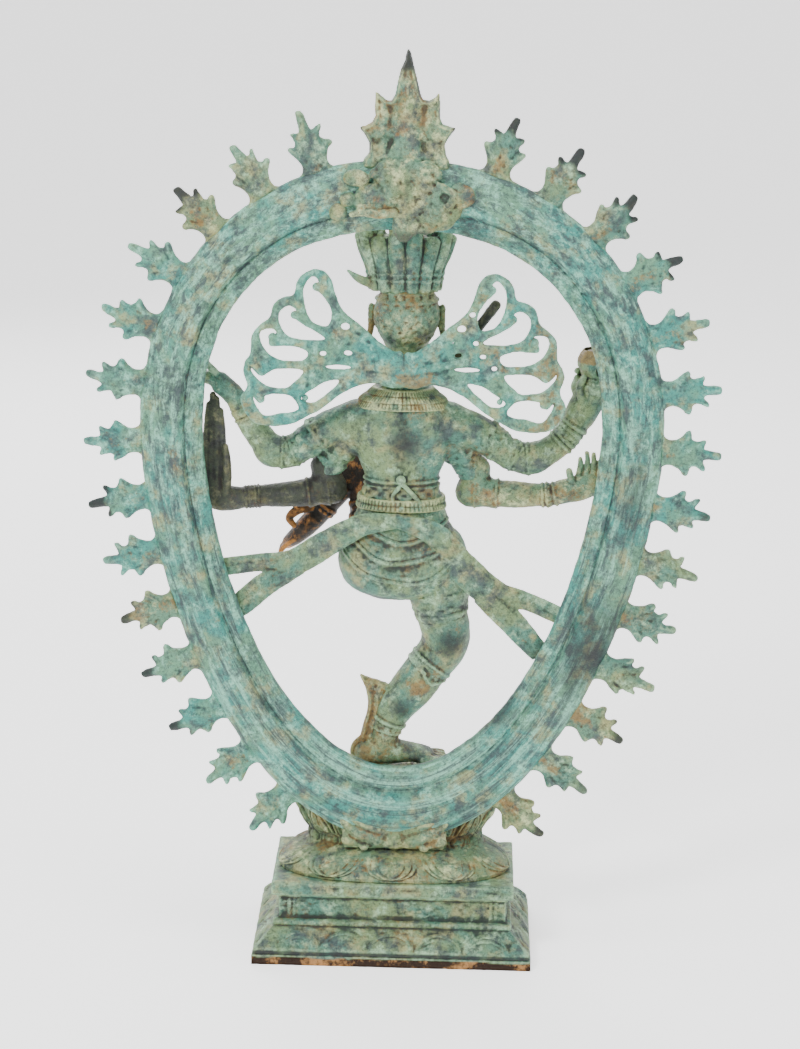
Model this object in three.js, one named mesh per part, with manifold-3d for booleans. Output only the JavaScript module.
// A cast brass dancing figure in a flaming halo, on a two-tier lotus base. Millimetres, +Z up.
// The origin is the middle of the base's underside; the figure faces -Y, so its left hand is at +X.
import * as THREE from "three";
import { mergeVertices } from "three/addons/utils/BufferGeometryUtils.js";
import Module from "manifold-3d";

const wasm = await Module();
wasm.setup();

// ---- Driving dimensions ----
const GAP = 0.4; // air between neighbouring castings
const WALL = 6; // wall of the hollow base castings

// Base. A tier is [z, half width, half depth, centre y].
const RIM_HALF_WIDTH = 139.5;
const RIM_HALF_DEPTH = 83.5;
const NECK_HALF_WIDTH = 113.5;
const NECK_HALF_DEPTH = 57.5;
const PLINTH_TOP = 66;
const SLAB_BOTTOM = PLINTH_TOP + GAP;
const SLAB_TOP = 80.5;
const SLAB_HALF_WIDTH = 121;
const SLAB_HALF_DEPTH = 65;
const PEDESTAL_TOP = 142;
const LOTUS_CENTRE_Y = -25;

// Halo. The ring is two closed curves about one centre height, joined by a moulded section.
const HALO_CENTRE_Z = 535;
const HALO_FRONT_Y = 18;
const HALO_INNER = { half: 194, rise: 197, drop: 344, power: 2.3 };
const HALO_OUTER = { half: 254, rise: 265, drop: 421, power: 2.1 };
const DROP_POWER = 1.65;
const HALO_STEPS = 60;
const FLAMES_PER_SIDE = 14;
const FLAME_FIRST_ARC = 86; // along the rim, from the crest's middle to the first flame
const FLAME_PITCH = 56.5;
const FLAME_LENGTH = 59;
const FLAME_THICKNESS = 9;
const CREST_TOP = 904;

// Figure
const FIGURE_Y = -12;
const SOLE_Z = 183;
const HAIR_Y = 21.5;
const HAIR_THICKNESS = 6.5;

// Fasteners
const STUD_RADIUS = 6;
const STUD_NUT_ACROSS = 19;
const BOLT_RADIUS = 4;
const BOLT_HEAD_ACROSS = 13;
const BOLT_INSET = [94, 41];
const PIN_RADIUS = 4;
const PIN_X = 30;
const PIN_LENGTH = 26;

// ---- Finish ----
const patina = (colour, roughness = 0.62) =>
  new THREE.MeshStandardMaterial({ color: colour, roughness, metalness: 0.55 });
const VERDIGRIS = patina(0x86b3a0);
const TURQUOISE = patina(0x7fb9b4);
const OCHRE_PATINA = patina(0x9a9866);
const DARK_BRONZE = patina(0x54524c, 0.5);
const STEEL = new THREE.MeshStandardMaterial({ color: 0x8a8d8f, roughness: 0.4, metalness: 0.9 });

// ---- Solids ----
function solidOf(geometry) {
  const bare = new THREE.BufferGeometry();
  bare.setAttribute("position", geometry.getAttribute("position").clone());
  if (geometry.index) bare.setIndex(geometry.index);
  const merged = mergeVertices(bare, 1e-3);
  return new wasm.Manifold(
    new wasm.Mesh({
      numProp: 3,
      vertProperties: merged.attributes.position.array,
      triVerts: new Uint32Array(merged.index.array),
    }),
  );
}

function geometryOf(solid) {
  const mesh = solid.getMesh();
  const geometry = new THREE.BufferGeometry();
  geometry.setAttribute("position", new THREE.BufferAttribute(mesh.vertProperties, 3));
  geometry.setIndex(new THREE.BufferAttribute(mesh.triVerts, 1));
  return geometry;
}

const join = (...solids) => solids.reduce((all, next) => all.add(next));
const cut = (body, ...tools) => tools.reduce((left, tool) => left.subtract(tool), body);

function box(low, high) {
  const geometry = new THREE.BoxGeometry(high[0] - low[0], high[1] - low[1], high[2] - low[2]);
  geometry.translate((low[0] + high[0]) / 2, (low[1] + high[1]) / 2, (low[2] + high[2]) / 2);
  return solidOf(geometry);
}

// An upright cylinder from z = bottom to z = top.
function post(x, y, bottom, top, radius, sides = 12) {
  const geometry = new THREE.CylinderGeometry(radius, radius, top - bottom, sides);
  geometry.rotateX(Math.PI / 2);
  geometry.translate(x, y, (bottom + top) / 2);
  return solidOf(geometry);
}

// A hexagonal prism, measured across its flats.
const hexagon = (x, y, bottom, top, across) => post(x, y, bottom, top, across / Math.sqrt(3), 6);

function ball(centre, radii, sides = 10) {
  const geometry = new THREE.SphereGeometry(1, sides, Math.round(sides * 0.65));
  geometry.rotateX(Math.PI / 2);
  geometry.scale(...radii);
  geometry.translate(...centre);
  return solidOf(geometry);
}

// How far out a unit superellipse lies at an angle. Power 2 is a circle and an infinite power a square.
function superReach(c, s, power) {
  if (power === Infinity) return 1 / Math.max(Math.abs(c), Math.abs(s));
  return (Math.abs(c) ** power + Math.abs(s) ** power) ** (-1 / power);
}

// A stack of tiers [z, half width, half depth, centre y], each a superellipse.
function stack(tiers, power, sides) {
  const geometry = new THREE.CylinderGeometry(1, 1, 1, sides, tiers.length - 1);
  const place = geometry.getAttribute("position");
  const corner = Math.PI / 4;
  for (let i = 0; i < place.count; i++) {
    const [z, halfWidth, halfDepth, centreY = 0] =
      tiers[Math.round((place.getY(i) + 0.5) * (tiers.length - 1))];
    const centred = Math.hypot(place.getX(i), place.getZ(i)) < 1e-6;
    const angle = Math.atan2(place.getZ(i), place.getX(i)) + (sides === 4 ? corner : 0);
    const c = Math.cos(angle);
    const s = Math.sin(angle);
    const reach = centred ? 0 : superReach(c, s, power);
    place.setXYZ(i, reach * c * halfWidth, centreY - reach * s * halfDepth, z);
  }
  return solidOf(geometry);
}

const rectangular = (tiers) => stack(tiers, Infinity, 4);
const oval = (tiers) => stack(tiers, 2.6, 28);
const bodyShape = (tiers) => stack(tiers, 2.15, 16);

// A limb: a round bar along a smooth curve. Each knot is [x, y, z, side radius, depth radius].
// The depth radius lies along `depth`; cap is the share of the length that rounds off at each end.
function limb(knots, { grow = 0, sides = 10, steps = 10, cap = 0.06, depth = [0, 1, 0] } = {}) {
  const along = knots.map(([x, y, z]) => new THREE.Vector3(x, y, z));
  const curve = new THREE.CatmullRomCurve3(along, false, "centripetal");
  const radius = (t, column) => {
    const at = t * (knots.length - 1);
    const i = Math.min(Math.floor(at), knots.length - 2);
    const blend = at - i;
    const ease = blend * blend * (3 - 2 * blend);
    const end = Math.min(t, 1 - t) / cap;
    const rounding = end >= 1 ? 1 : Math.sqrt(Math.max(0.12, 1 - (1 - end) ** 2));
    return (knots[i][column] * (1 - ease) + knots[i + 1][column] * ease) * rounding + grow;
  };
  const geometry = new THREE.CylinderGeometry(1, 1, 1, sides, steps);
  const place = geometry.getAttribute("position");
  const towardsDepth = new THREE.Vector3(...depth);
  for (let i = 0; i < place.count; i++) {
    const t = place.getY(i) + 0.5;
    const tangent = curve.getTangent(t);
    const depthAxis = towardsDepth.clone().addScaledVector(tangent, -towardsDepth.dot(tangent)).normalize();
    const sideAxis = new THREE.Vector3().crossVectors(depthAxis, tangent);
    const point = curve
      .getPoint(t)
      .addScaledVector(sideAxis, place.getX(i) * radius(t, 3))
      .addScaledVector(depthAxis, place.getZ(i) * radius(t, 4))
      .addScaledVector(tangent, (t === 0 ? -1 : t === 1 ? 1 : 0) * grow);
    place.setXYZ(i, point.x, point.y, point.z);
  }
  const solid = solidOf(geometry);
  if (solid.volume() > 0) return solid;
  geometry.setIndex([...geometry.index.array].reverse());
  return solidOf(geometry);
}

// A plate cut from an outline of [x, z] points, standing in the XZ plane between two y values.
function plate(outline, yFront, yBack) {
  const shape = new THREE.Shape(outline.map(([x, z]) => new THREE.Vector2(x, z)));
  const geometry = new THREE.ExtrudeGeometry(shape, { depth: yBack - yFront, bevelEnabled: false });
  geometry.rotateX(Math.PI / 2);
  geometry.translate(0, yBack, 0);
  return solidOf(geometry);
}

// ---- Base ----
const RIM_TOP = 9.5;
const BEAD_Z = 35;
const PLINTH_CEILING = PLINTH_TOP - WALL;

const studHole = () => post(0, LOTUS_CENTRE_Y, 40, 168, STUD_RADIUS + GAP);

function boltPlaces() {
  const [x, y] = BOLT_INSET;
  return [[x, y], [-x, y], [-x, -y], [x, -y]];
}

const boltHoles = () => boltPlaces().map(([x, y]) => post(x, y, 40, SLAB_TOP - 3, BOLT_RADIUS + GAP));

function plinth() {
  const shell = rectangular([
    [0, RIM_HALF_WIDTH, RIM_HALF_DEPTH],
    [RIM_TOP, RIM_HALF_WIDTH, RIM_HALF_DEPTH],
    [17, 136, 80],
    [26, 128, 72],
    [BEAD_Z - 1, NECK_HALF_WIDTH + 4, NECK_HALF_DEPTH + 4],
    [BEAD_Z, NECK_HALF_WIDTH + 5.5, NECK_HALF_DEPTH + 5.5],
    [BEAD_Z + 4, NECK_HALF_WIDTH + 5.5, NECK_HALF_DEPTH + 5.5],
    [BEAD_Z + 5, NECK_HALF_WIDTH, NECK_HALF_DEPTH],
    [PLINTH_TOP, NECK_HALF_WIDTH, NECK_HALF_DEPTH],
  ]);
  const hollow = rectangular([
    [-1, RIM_HALF_WIDTH - WALL, RIM_HALF_DEPTH - WALL],
    [RIM_TOP, RIM_HALF_WIDTH - WALL, RIM_HALF_DEPTH - WALL],
    [BEAD_Z - 1, NECK_HALF_WIDTH - WALL, NECK_HALF_DEPTH - WALL],
    [PLINTH_CEILING, NECK_HALF_WIDTH - WALL, NECK_HALF_DEPTH - WALL],
  ]);
  return cut(shell, hollow, studHole(), ...boltHoles());
}

function lotusPedestal() {
  const slab = rectangular([
    [SLAB_BOTTOM, SLAB_HALF_WIDTH - 2, SLAB_HALF_DEPTH - 2],
    [SLAB_BOTTOM + 3, SLAB_HALF_WIDTH, SLAB_HALF_DEPTH],
    [SLAB_TOP, SLAB_HALF_WIDTH, SLAB_HALF_DEPTH],
  ]);
  const lotus = oval([
    [SLAB_TOP - 2, 116, 61],
    [85, 116, 61],
    [90, 112, 58, -1],
    [97, 102, 51, -3],
    [102, 91, 44, -8],
    [106, 87, 42, -18],
    [114, 89, 42, LOTUS_CENTRE_Y],
    [126, 97, 42.3, LOTUS_CENTRE_Y],
    [138, 103, 42.5, LOTUS_CENTRE_Y],
    [PEDESTAL_TOP, 101, 41, LOTUS_CENTRE_Y],
  ]);
  return cut(join(slab, lotus), haloRing(GAP), studHole(), ...boltHoles(), ...haloPins(GAP));
}

// ---- Halo ----
// A point on a halo curve. The angle runs from the top, clockwise seen from the front, in radians.
function haloPoint({ half, rise, drop, power }, angle) {
  const s = Math.sin(angle);
  const c = Math.cos(angle);
  if (c < 0) return [half * s, HALO_CENTRE_Z - drop * Math.abs(c) ** (2 / DROP_POWER)];
  return [half * Math.sign(s) * Math.abs(s) ** (2 / power), HALO_CENTRE_Z + rise * c ** (2 / power)];
}

// The moulding from the inner edge (0) to the outer edge (1), as [share of the width, y].
const HALO_SECTION = [
  [0, 21], [0.02, 26], [0.26, 33], [0.34, 38], [0.62, 38.5],
  [0.9, 34], [1, 29], [1, 23], [0.94, HALO_FRONT_Y], [0.1, HALO_FRONT_Y],
];
const HALO_MIDDLE_Y = 28;
const HALO_FOOT = { half: 50, bottom: 106, top: 138, back: 36 };

const widened = (curve, grow) => ({
  ...curve,
  half: curve.half + grow,
  rise: curve.rise + grow,
  drop: curve.drop + grow,
});

function haloRing(grow = 0) {
  const around = HALO_SECTION.length;
  const geometry = new THREE.TorusGeometry(2, 1, around, HALO_STEPS);
  const place = geometry.getAttribute("position");
  const outer = widened(HALO_OUTER, grow);
  const inner = widened(HALO_INNER, -grow);
  for (let i = 0; i < place.count; i++) {
    const [share, y] = HALO_SECTION[Math.floor(i / (HALO_STEPS + 1)) % around];
    const step = (i % (HALO_STEPS + 1)) % HALO_STEPS;
    const angle = (-2 * Math.PI * step) / HALO_STEPS;
    const [innerX, innerZ] = haloPoint(inner, angle);
    const [outerX, outerZ] = haloPoint(outer, angle);
    const x = innerX + share * (outerX - innerX);
    const z = innerZ + share * (outerZ - innerZ);
    place.setXYZ(i, x, y + Math.sign(y - HALO_MIDDLE_Y) * grow, z);
  }
  const { half, bottom, top, back } = HALO_FOOT;
  const foot = box([-half - grow, HALO_FRONT_Y - grow, bottom - grow], [half + grow, back + grow, top]);
  return join(solidOf(geometry), foot);
}

function haloPins(grow = 0) {
  const reach = PIN_LENGTH / 2 + grow;
  const { bottom } = HALO_FOOT;
  return [PIN_X, -PIN_X].map((x) =>
    post(x, HALO_MIDDLE_Y - 1, bottom - reach, bottom + reach, PIN_RADIUS + grow),
  );
}

// Half of a flame's outline from the root out, as [distance from the rim, half width].
const FLAME_HALF = [
  [0, 13], [8, 13.5], [16, 17], [24.5, 21.5], [28.5, 13], [34, 12],
  [41.5, 15.5], [38.5, 4.8], [48, 3.2], [FLAME_LENGTH - 1.5, 1.8],
];
const FLAME_MIDDLE_Y = 26;

function flame(side, index) {
  const { point, outward } = rimPlace(FLAME_FIRST_ARC + index * FLAME_PITCH);
  const outline = [...FLAME_HALF, [FLAME_LENGTH, 0], ...FLAME_HALF.map(([r, w]) => [r, -w]).reverse()];
  const places = outline.map(([r, w]) => [
    side * (point[0] + outward[0] * (r + GAP) - outward[1] * w),
    point[1] + outward[1] * (r + GAP) + outward[0] * w,
  ]);
  return plate(places, FLAME_MIDDLE_Y - FLAME_THICKNESS / 2, FLAME_MIDDLE_Y + FLAME_THICKNESS / 2);
}

// The place on the halo's outer edge at a distance along it from the top, and the outward direction there.
function rimPlace(wanted) {
  const fine = 2000;
  let walked = 0;
  let before = haloPoint(HALO_OUTER, 0);
  for (let i = 1; i <= fine; i++) {
    const here = haloPoint(HALO_OUTER, (Math.PI * i) / fine);
    const step = Math.hypot(here[0] - before[0], here[1] - before[1]);
    const outward = [-(here[1] - before[1]) / step, (here[0] - before[0]) / step];
    if (walked + step >= wanted) return { point: here, outward };
    walked += step;
    before = here;
  }
  throw new Error("the flame lies past the end of the rim");
}

function crest() {
  const half = [
    [39, 799.5], [36, 818], [47, 832], [33, 836], [31, 852],
    [30, 865], [14, 855], [9, 872], [4.5, 893], [1.8, CREST_TOP - 1],
  ];
  const outline = [...half, [0, CREST_TOP], ...half.map(([x, z]) => [-x, z]).reverse()];
  return cut(plate(outline, 20, 33), haloRing(GAP));
}

// The lumpy mask that stands on the back of the halo's top and runs down to a knob at the inner edge.
function crestMask() {
  const bosses = [1, -1].map((side) => ball([side * 42, 41, 773], [20, 8, 20]));
  const middle = ball([0, 41, 768], [32, 9, 36]);
  return cut(join(middle, ...bosses), haloRing(GAP));
}

// ---- Figure ----
// The trunk from the seat to the neck, as [z, half width, half depth].
const TRUNK = [
  [362, 34, 26], [372, 52, 36], [392, 61, 39], [415, 59, 36], [440, 47, 31], [460, 40, 28],
  [480, 35.5, 26], [503, 44, 29], [525, 55, 30], [546, 60, 27], [562, 40, 22], [578, 20, 18],
];
const UPPER_ARM_STUBS = [
  [[46, -10, 536, 22, 20], [76, -8, 528, 20, 18], [104, -6, 507, 16, 15]],
  [[-46, -10, 536, 22, 20], [-78, -8, 527, 20, 18], [-107, -6, 507, 16, 15]],
  [[50, -16, 524, 20, 18], [64, -18, 505, 18, 17], [75, -18, 484, 15.5, 15]],
  [[-48, -16, 524, 20, 18], [-60, -18, 505, 18, 17], [-71, -18, 484, 15.5, 15]],
];

// Tiers about the figure's own axis, each widened all round, and the end ones pushed out too.
function figureTiers(tiers, grow) {
  const last = tiers.length - 1;
  return tiers.map(([z, halfWidth, halfDepth], i) => {
    const push = i === 0 ? -grow : i === last ? grow : 0;
    return [z + push, halfWidth + grow, halfDepth + grow, FIGURE_Y];
  });
}

function torso(grow = 0) {
  const stubs = UPPER_ARM_STUBS.map((knots) => limb(knots, { grow, steps: 4 }));
  return join(bodyShape(figureTiers(TRUNK, grow)), ...stubs);
}

function head(grow = 0) {
  const skull = ball([-2, FIGURE_Y - 1, 640], [36 + grow, 31 + grow, 42 + grow], 14);
  const neck = limb([[-1, -11, 570, 17, 16], [-1, -12, 592, 17, 16], [-2, -12, 615, 19, 18]], {
    grow,
    steps: 3,
  });
  const ears = [1, -1].map((side) => ball([side * 37 - 2, -14, 640], [7 + grow, 5 + grow, 15 + grow], 8));
  return cut(join(skull, neck, ...ears), torso(GAP));
}

function headdress() {
  const crown = stack([
    [672, 35, 26, -12], [684, 36, 25, -12], [698, 40, 24, -11], [712, 46, 22, -10], [724, 44, 18, -7],
  ], 2.4, 16);
  return cut(crown, head(GAP), haloRing(GAP));
}

// The fan of matted hair: a pierced plate behind the neck.
// Half its outline runs from the neck's dip round to the lower edge.
const HAIR_HALF = [
  [18, 616], [40, 626], [57, 640], [70, 662], [76, 682], [86, 694], [99, 690],
  [107, 672], [120, 662], [130, 644], [141, 628], [149, 604], [156, 580],
  [155, 558], [142, 544], [118, 540], [92, 549], [70, 562], [50, 573], [24, 581],
];
const HAIR_LOOPS = [
  [[78, 652], [76, 668], [84, 684], [93, 684], [97, 672], [90, 656]],
  [[92, 644], [103, 656], [114, 655], [123, 638], [106, 640]],
  [[88, 628], [104, 632], [127, 632], [136, 617], [112, 616]],
  [[88, 613], [108, 609], [137, 609], [144, 594], [112, 594]],
  [[92, 590], [112, 586], [138, 586], [146, 568], [136, 556], [112, 560]],
  [[66, 583], [82, 586], [96, 576], [88, 566], [74, 570]],
];

function hairFan() {
  const mirrored = (points) => points.map(([x, z]) => [-x, z]).reverse();
  const outline = [...HAIR_HALF, [0, 584], ...mirrored(HAIR_HALF), [0, 612]];
  const loops = [...HAIR_LOOPS, ...HAIR_LOOPS.map(mirrored)];
  return cut(
    plate(outline, HAIR_Y, HAIR_Y + HAIR_THICKNESS),
    ...loops.map((loop) => plate(loop, HAIR_Y - 1, HAIR_Y + HAIR_THICKNESS + 1)),
  );
}

function hairRod() {
  const rod = limb([[-44, 6, 596, 5.5, 5.5], [-66, 8, 628, 5.5, 5.5], [-90, 10, 662, 5.5, 5.5]], {
    steps: 2,
    cap: 0.001,
  });
  return cut(rod, head(GAP), torso(GAP));
}

// Limbs from the body outwards. Each bone runs through knots of [x, y, z, side radius, depth radius].
const LEG = [
  [-34, -12, 392, 32, 31], [-42, -14, 345, 27, 27], [-48, -18, 308, 24.5, 25], [-22, -15, 272, 23, 23],
  [2, -12, 243, 18, 18], [12, -12, 214, 15, 15], [14, -12, 190, 17, 16],
];
const FOOT = [
  [36, -11, 194, 11, 13], [14, -11, 196, 14, 15], [-18, -14, 194, 10.5, 17], [-44, -16, 190, 6, 17],
];
const RAISED_THIGH = [[24, -32, 402, 27, 25], [30, -52, 446, 23, 22], [36, -60, 486, 18, 18]];
const RAISED_SHIN = [
  [38, -61, 490, 16, 16], [60, -60, 462, 16, 16], [84, -58, 428, 11, 11],
  [104, -60, 408, 10, 12], [116, -62, 398, 7, 11],
];
const UPPER_LEFT_ARM = [
  [[98, -6, 511, 15, 14], [114, -6, 506, 16, 14], [130, -5, 505, 15, 13]],
  [
    [126, -5, 503, 15, 13], [146, -5, 530, 14, 12], [163, -5, 558, 10.5, 10],
    [180, -7, 574, 12, 9], [196, -9, 582, 9, 8],
  ],
];
const LOWER_LEFT_ARM = [
  [[77, -18, 488, 15, 15], [73, -18, 476, 15, 14], [70, -17, 464, 14, 13]],
  [
    [68, -17, 466, 14, 13], [100, -13, 462, 14.5, 13], [144, -8, 459, 11, 10.5],
    [170, -6, 457, 14, 11], [186, -6, 452, 13, 10],
  ],
];
const LEFT_FINGERS = [[184, -4, 455, 11.5, 9], [184, -3, 500, 11, 8], [182, -2, 558, 8, 7]];
const UPPER_RIGHT_ARM = [
  [[-102, -6, 511, 15, 14], [-118, -6, 506, 16, 14], [-133, -5, 505, 15, 13]],
  [
    [-128, -5, 503, 15, 14], [-150, -6, 517, 14, 13], [-166, -7, 535, 13, 12],
    [-174, -9, 552, 14, 12], [-181, -11, 568, 14, 13],
  ],
];
const LOWER_RIGHT_ARM = [
  [[-74, -18, 488, 15, 15], [-72, -18, 476, 15, 14], [-70, -17, 465, 14, 13]],
  [
    [-68, -17, 467, 14, 13], [-104, -13, 466, 14, 13], [-142, -9, 466, 12, 11],
    [-166, -8, 473, 15, 11], [-188, -8, 480, 15, 10],
  ],
];
const RIGHT_FINGER = [[-184, -6, 486, 7, 7], [-188, -5, 506, 6, 6]];
const CALF_RIBBON = [
  [30, -12, 276, 4, 4], [25, -12, 258, 6, 4], [27, -12, 238, 6, 5],
  [31, -12, 214, 5, 5], [36, -12, 200, 5, 5],
];

function wholeStandingLeg(grow = 0) {
  const leg = limb(LEG, { grow, steps: 14, cap: 0.03 });
  const foot = limb(FOOT, { grow, steps: 6, cap: 0.1 });
  return join(leg, foot);
}

function standingLeg() {
  const floor = box([-120, -90, SOLE_Z - 60], [120, 60, SOLE_Z + GAP]);
  return cut(wholeStandingLeg(), floor, torso(GAP));
}

function raisedLeg() {
  const thigh = limb(RAISED_THIGH, { steps: 5, depth: [0, 0, 1] });
  const shin = limb(RAISED_SHIN, { steps: 8, cap: 0.04 });
  return cut(join(thigh, shin), torso(GAP), belt(GAP), lowerLeftArm(GAP));
}

const calfRibbon = () => cut(limb(CALF_RIBBON, { steps: 5, sides: 8 }), wholeStandingLeg(GAP));

const arm = (bones, grow = 0) =>
  join(...bones.map((knots) => limb(knots, { grow, steps: 2 * knots.length })));

const upperLeftArm = () => cut(arm(UPPER_LEFT_ARM), torso(GAP));
const upperRightArm = () => cut(arm(UPPER_RIGHT_ARM), torso(GAP));

function lowerLeftArm(grow = 0) {
  const fingers = limb(LEFT_FINGERS, { grow, steps: 3, sides: 8 });
  return cut(join(arm(LOWER_LEFT_ARM, grow), fingers), torso(GAP), haloRing(GAP));
}

function lowerRightArm() {
  const finger = limb(RIGHT_FINGER, { steps: 2, sides: 8 });
  return cut(join(arm(LOWER_RIGHT_ARM), finger), torso(GAP), haloRing(GAP));
}

// A turned piece whose profile is [radius, distance along its axis]; its axis is +Y until it is turned.
function turned(profile, sides) {
  return new THREE.LatheGeometry(profile.map(([r, h]) => new THREE.Vector2(r, h)), sides);
}

// An hourglass drum, standing in the hand.
function handDrum() {
  const profile = [[0, 0], [16, 0], [17, 3], [12, 18], [17, 35], [16, 38], [0, 38]];
  const drum = solidOf(turned(profile, 14).rotateX(Math.PI / 2).translate(-187, -12, 568.6));
  return cut(drum, arm(UPPER_RIGHT_ARM, GAP));
}

// A shallow bowl with a pointed flame, carried in the raised left hand.
function flameBowl() {
  const profile = [[0, 0], [6, 0], [7, 3], [14, 9], [15, 13], [12, 16], [7, 30], [3, 46], [0, 52]];
  const bowl = solidOf(turned(profile, 10).rotateX(Math.PI / 2).translate(208, -10, 590));
  return cut(bowl, arm(UPPER_LEFT_ARM, GAP));
}

// Each sash runs from the small of the back to two tails that meet the halo's front.
const SASHES = {
  left: [
    [
      [1, 22, 445, 7, 5], [36, 20, 440, 11, 4.5], [70, 15, 420, 13, 4.5],
      [105, 12, 398, 14, 4], [132, 11, 398, 9, 3.5], [176, 12, 392, 9.5, 3.5],
    ],
    [[105, 12, 393, 10, 4], [132, 11, 375, 13, 3.5], [152, 11, 357, 14, 3.5], [168, 12, 344, 13, 3.5]],
  ],
  right: [
    [
      [0, 22, 444, 7, 5], [-34, 20, 432, 12, 4.5], [-62, 15, 398, 15, 4.5],
      [-92, 12, 371, 17, 4], [-125, 11, 366, 9, 3.5], [-162, 12, 349, 9.5, 3.5],
    ],
    [[-88, 12, 368, 14, 4], [-112, 11, 342, 13, 3.5], [-142, 12, 310, 12, 3.5]],
  ],
};

function sash(side) {
  const tails = SASHES[side].map((knots) => limb(knots, { steps: 9, sides: 8, cap: 0.01 }));
  const beyond = side === "left" ? [-60, GAP / 2] : [-GAP / 2, 60];
  const otherSide = box([beyond[0], -60, 300], [beyond[1], 80, 600]);
  return cut(join(...tails), torso(GAP), belt(GAP), haloRing(GAP), otherSide, wholeStandingLeg(GAP));
}

function belt(grow = 0) {
  const band = [[452, 44, 30.5], [458, 43, 30], [464, 42, 29.5]];
  return cut(bodyShape(figureTiers(band, grow)), torso(GAP));
}

function necklace() {
  const collar = [[552, 53, 28], [560, 46, 26.5], [574, 27, 22]];
  return cut(bodyShape(figureTiers(collar, 0)), torso(GAP), head(GAP));
}

// The crouching dwarf that the dancer stands on, lying along X with its head at +X.
function dwarf() {
  const parts = [
    limb(
      [[-48, -26, 160, 16, 20], [-10, -26, 164, 17, 22], [34, -26, 164, 17, 22], [54, -26, 166, 12, 14]],
      { steps: 5 },
    ),
    ball([66, -27, 168], [16, 14, 16]),
    limb([[-44, -38, 158, 12, 12], [-68, -42, 158, 11, 11], [-90, -40, 152, 8, 9]], { steps: 3, sides: 8 }),
    limb([[-44, -14, 158, 12, 12], [-66, -8, 158, 11, 11], [-88, -10, 152, 8, 9]], { steps: 3, sides: 8 }),
    limb([[36, -44, 162, 8, 8], [50, -54, 156, 8, 8], [74, -54, 150, 7, 7]], { steps: 3, sides: 8 }),
    box([-40, -40, PEDESTAL_TOP], [44, -10, 160]),
  ];
  const above = box([-120, -90, SOLE_Z], [56, 60, 260]);
  const below = box([-140, -90, 100], [140, 60, PEDESTAL_TOP + GAP]);
  return cut(join(...parts), above, below, haloRing(GAP), studHole());
}

// ---- Fasteners ----
const figureStud = () => post(0, LOTUS_CENTRE_Y, 44, 166, STUD_RADIUS);
const studNut = () =>
  cut(hexagon(0, LOTUS_CENTRE_Y, 49, PLINTH_CEILING - GAP, STUD_NUT_ACROSS), studHole());

function pedestalBolt([x, y]) {
  const seat = PLINTH_CEILING - GAP;
  const bolt = hexagon(x, y, seat - 5.5, seat, BOLT_HEAD_ACROSS);
  return join(bolt, post(x, y, seat - 3, SLAB_TOP - 4, BOLT_RADIUS));
}

// ---- Assembly ----
const statue = new THREE.Group();
statue.name = "dancing_figure";

function place(name, solid, material) {
  const mesh = new THREE.Mesh(geometryOf(solid), material);
  mesh.name = name;
  statue.add(mesh);
}

place("plinth", plinth(), VERDIGRIS);
place("lotus_pedestal", lotusPedestal(), OCHRE_PATINA);
boltPlaces().forEach((at, i) => place(`pedestal_bolt_${i + 1}`, pedestalBolt(at), STEEL));
place("figure_stud", figureStud(), STEEL);
place("stud_nut", studNut(), STEEL);

place("halo_ring", cut(haloRing(), ...haloPins(GAP)), TURQUOISE);
haloPins().forEach((pin, i) => place(["halo_pin_left", "halo_pin_right"][i], pin, STEEL));
place("halo_crest", crest(), OCHRE_PATINA);
place("crest_mask", crestMask(), OCHRE_PATINA);
for (let i = 0; i < FLAMES_PER_SIDE; i++) {
  const number = String(i + 1).padStart(2, "0");
  place(`flame_left_${number}`, flame(1, i), TURQUOISE);
  place(`flame_right_${number}`, flame(-1, i), VERDIGRIS);
}

place("dwarf", dwarf(), OCHRE_PATINA);
place("torso", torso(), VERDIGRIS);
place("head", head(), OCHRE_PATINA);
place("headdress", headdress(), VERDIGRIS);
place("hair_fan", hairFan(), VERDIGRIS);
place("hair_rod", hairRod(), DARK_BRONZE);
place("necklace", necklace(), OCHRE_PATINA);
place("belt", belt(), OCHRE_PATINA);
place("standing_leg", standingLeg(), VERDIGRIS);
place("calf_ribbon", calfRibbon(), OCHRE_PATINA);
place("raised_leg", raisedLeg(), DARK_BRONZE);
place("upper_left_arm", upperLeftArm(), VERDIGRIS);
place("lower_left_arm", lowerLeftArm(), DARK_BRONZE);
place("upper_right_arm", upperRightArm(), VERDIGRIS);
place("lower_right_arm", lowerRightArm(), OCHRE_PATINA);
place("hand_drum", handDrum(), DARK_BRONZE);
place("flame_bowl", flameBowl(), DARK_BRONZE);
place("sash_left", sash("left"), VERDIGRIS);
place("sash_right", sash("right"), VERDIGRIS);

export default statue;
